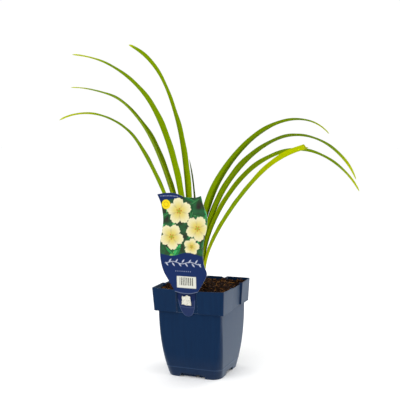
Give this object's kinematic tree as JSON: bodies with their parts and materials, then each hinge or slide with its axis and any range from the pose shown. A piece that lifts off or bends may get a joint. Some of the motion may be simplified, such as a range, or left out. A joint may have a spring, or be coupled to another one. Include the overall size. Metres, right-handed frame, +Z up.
{
  "type": "potted daylily plant",
  "caption": "Young daylily: one fan of arching strap leaves in a square nursery pot of soil, with a wavy plant tag hooked over the rim.",
  "frame": {"origin": "on the surface that the pot stands on, under the middle of the whole plant's box; the pot's axis is at x -0.0120, y -0.0066", "axes": "+Z up, -Y the pot's front with the plant tag, +X to the right of the front"},
  "size_m": [0.412, 0.231, 0.4892],
  "materials": {
    "pot_plastic": "injection-moulded polypropylene, navy blue, satin",
    "potting_soil": "peat and bark potting mix, dark brown, crumbly",
    "crown_tissue": "pale green-white leaf bases",
    "leaf_green": "fresh green leaf, parallel veins, waxy satin",
    "leaf_yellowing": "yellow-green ageing leaf, waxy satin",
    "printed_tag": "printed polystyrene sheet, glossy",
    "sticker_paper": "thin white paper, torn and wrinkled"
  },
  "bodies": {
    "root": {"pot": "pot_plastic", "soil": "potting_soil", "crown": "crown_tissue", "leaf_left_1": "leaf_green", "leaf_left_2": "leaf_green", "leaf_left_3": "leaf_green", "leaf_left_4": "leaf_green", "leaf_centre": "leaf_green", "leaf_right_1": "leaf_green", "leaf_right_2": "leaf_green", "leaf_right_3": "leaf_green", "leaf_right_4": "leaf_yellowing", "label": "printed_tag", "price_sticker": "sticker_paper"}
  },
  "joints": []
}
